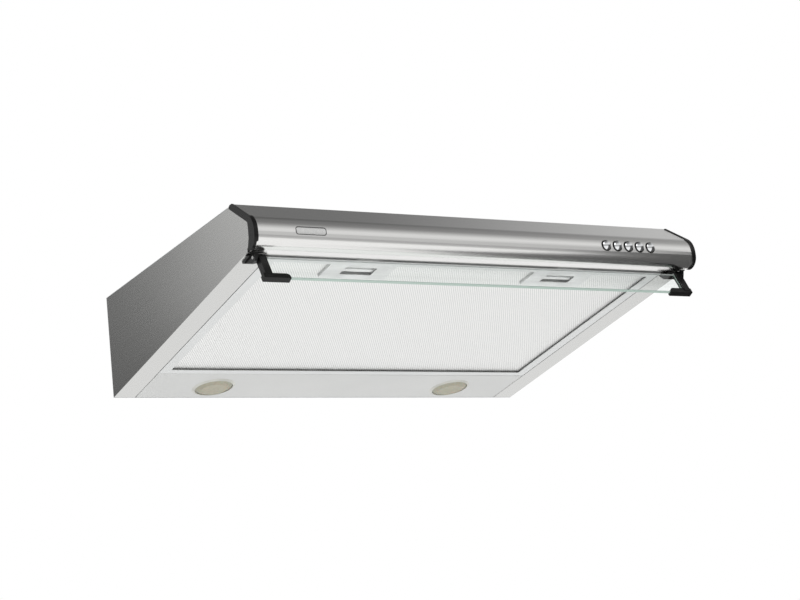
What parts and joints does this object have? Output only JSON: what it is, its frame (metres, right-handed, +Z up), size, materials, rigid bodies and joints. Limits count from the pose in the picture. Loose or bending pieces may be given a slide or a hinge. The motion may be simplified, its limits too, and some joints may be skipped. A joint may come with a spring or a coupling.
{
  "type": "range hood",
  "caption": "Flat wall or under-cabinet range hood with push buttons, a drop-down grease filter, a centrifugal blower, a duct collar and a tilting glass visor.",
  "frame": {"origin": "centre of the back face that lies on the wall", "axes": "+X to the right seen from the front, +Y into the wall, +Z up"},
  "size_m": [0.6, 0.4428, 0.1605],
  "materials": {
    "steel": "fine brushed stainless sheet",
    "galvanised": "dull galvanised sheet, out of sight in use",
    "lamp_panel": "light satin metal",
    "bezel": "smooth light grey ring",
    "lens": "frosted warm lens",
    "bulb": "clear capsule",
    "aluminium": "bright rolled aluminium",
    "latch": "satin grey moulding",
    "slider": "satin grey slider",
    "black_plastic": "black moulding with a fine texture",
    "scroll": "dark grey moulding",
    "impeller": "black drum",
    "motor": "plated can",
    "capacitor": "white potted block",
    "pin_steel": "plain ground steel",
    "switch": "pale moulding",
    "chrome": "mirror-bright plating",
    "visor_glass": "clear float glass with a green edge"
  },
  "bodies": {
    "root": {"top_panel": "galvanised", "back_panel": "galvanised", "left_side_panel": "steel", "right_side_panel": "steel", "fascia": "steel", "front_rail": "galvanised", "left_end_cap": "black_plastic", "right_end_cap": "black_plastic", "lamp_panel": "lamp_panel", "lamp_bezels": "bezel", "lamp_lenses": "lens", "lamp_housings": "galvanised", "lamp_bulbs": "bulb", "scroll_housing": "scroll", "motor": "motor", "capacitor": "capacitor", "outlet_collar": "black_plastic", "damper_spindle": "pin_steel", "switch_block": "switch", "terminal_box": "switch", "terminal_cover": "switch", "cable_gland": "black_plastic", "left_visor_bracket": "black_plastic", "right_visor_bracket": "black_plastic", "visor_pins": "pin_steel"},
    "impeller": {"impeller": "impeller", "motor_shaft": "pin_steel"},
    "front_damper_flap": {"front_damper_flap": "black_plastic"},
    "rear_damper_flap": {"rear_damper_flap": "black_plastic"},
    "filter": {"filter_frame": "aluminium", "filter_face_mesh": "aluminium", "filter_core": "aluminium", "filter_back_mesh": "aluminium", "left_latch_housing": "latch", "right_latch_housing": "latch"},
    "left_latch": {"left_latch_slider": "slider"},
    "right_latch": {"right_latch_slider": "slider"},
    "visor": {"visor_glass": "visor_glass", "left_visor_arm": "black_plastic", "right_visor_arm": "black_plastic"},
    "button_1": {"button_1": "chrome"},
    "button_2": {"button_2": "chrome"},
    "button_3": {"button_3": "chrome"},
    "button_4": {"button_4": "chrome"},
    "button_5": {"button_5": "chrome"}
  },
  "joints": [
    {"name": "impeller_spin", "type": "hinge", "parent": "root", "child": "impeller", "pos_m": [-0.125, -0.19, 0.03], "axis": [0, 0, 1], "continuous": true},
    {"name": "front_flap_swing", "type": "hinge", "parent": "root", "child": "front_damper_flap", "pos_m": [0, -0.097, 0.073], "axis": [-1, 0, 0], "range_deg": [0, 80]},
    {"name": "rear_flap_swing", "type": "hinge", "parent": "root", "child": "rear_damper_flap", "pos_m": [0, -0.097, 0.073], "axis": [1, 0, 0], "range_deg": [0, 80]},
    {"name": "filter_drop", "type": "hinge", "parent": "root", "child": "filter", "pos_m": [0, -0.07996, -0.05206], "axis": [1, 0, 0], "range_deg": [0, 80]},
    {"name": "left_latch_slide", "type": "slide", "parent": "filter", "child": "left_latch", "axis": [0, 0.9872, -0.1597], "range_m": [0, 0.007], "stiffness_N_per_m": 400, "springref_m": -0.003},
    {"name": "right_latch_slide", "type": "slide", "parent": "filter", "child": "right_latch", "axis": [0, 0.9872, -0.1597], "range_m": [0, 0.007], "stiffness_N_per_m": 400, "springref_m": -0.003},
    {"name": "visor_tilt", "type": "hinge", "parent": "root", "child": "visor", "pos_m": [0, -0.41656, -0.00369], "axis": [-1, 0, 0], "range_deg": [0, 50]},
    {"name": "button_1_press", "type": "slide", "parent": "root", "child": "button_1", "axis": [0, 1, 0], "range_m": [0, 0.0025], "stiffness_N_per_m": 300, "springref_m": -0.001},
    {"name": "button_2_press", "type": "slide", "parent": "root", "child": "button_2", "axis": [0, 1, 0], "range_m": [0, 0.0025], "stiffness_N_per_m": 300, "springref_m": -0.001},
    {"name": "button_3_press", "type": "slide", "parent": "root", "child": "button_3", "axis": [0, 1, 0], "range_m": [0, 0.0025], "stiffness_N_per_m": 300, "springref_m": -0.001},
    {"name": "button_4_press", "type": "slide", "parent": "root", "child": "button_4", "axis": [0, 1, 0], "range_m": [0, 0.0025], "stiffness_N_per_m": 300, "springref_m": -0.001},
    {"name": "button_5_press", "type": "slide", "parent": "root", "child": "button_5", "axis": [0, 1, 0], "range_m": [0, 0.0025], "stiffness_N_per_m": 300, "springref_m": -0.001}
  ]
}
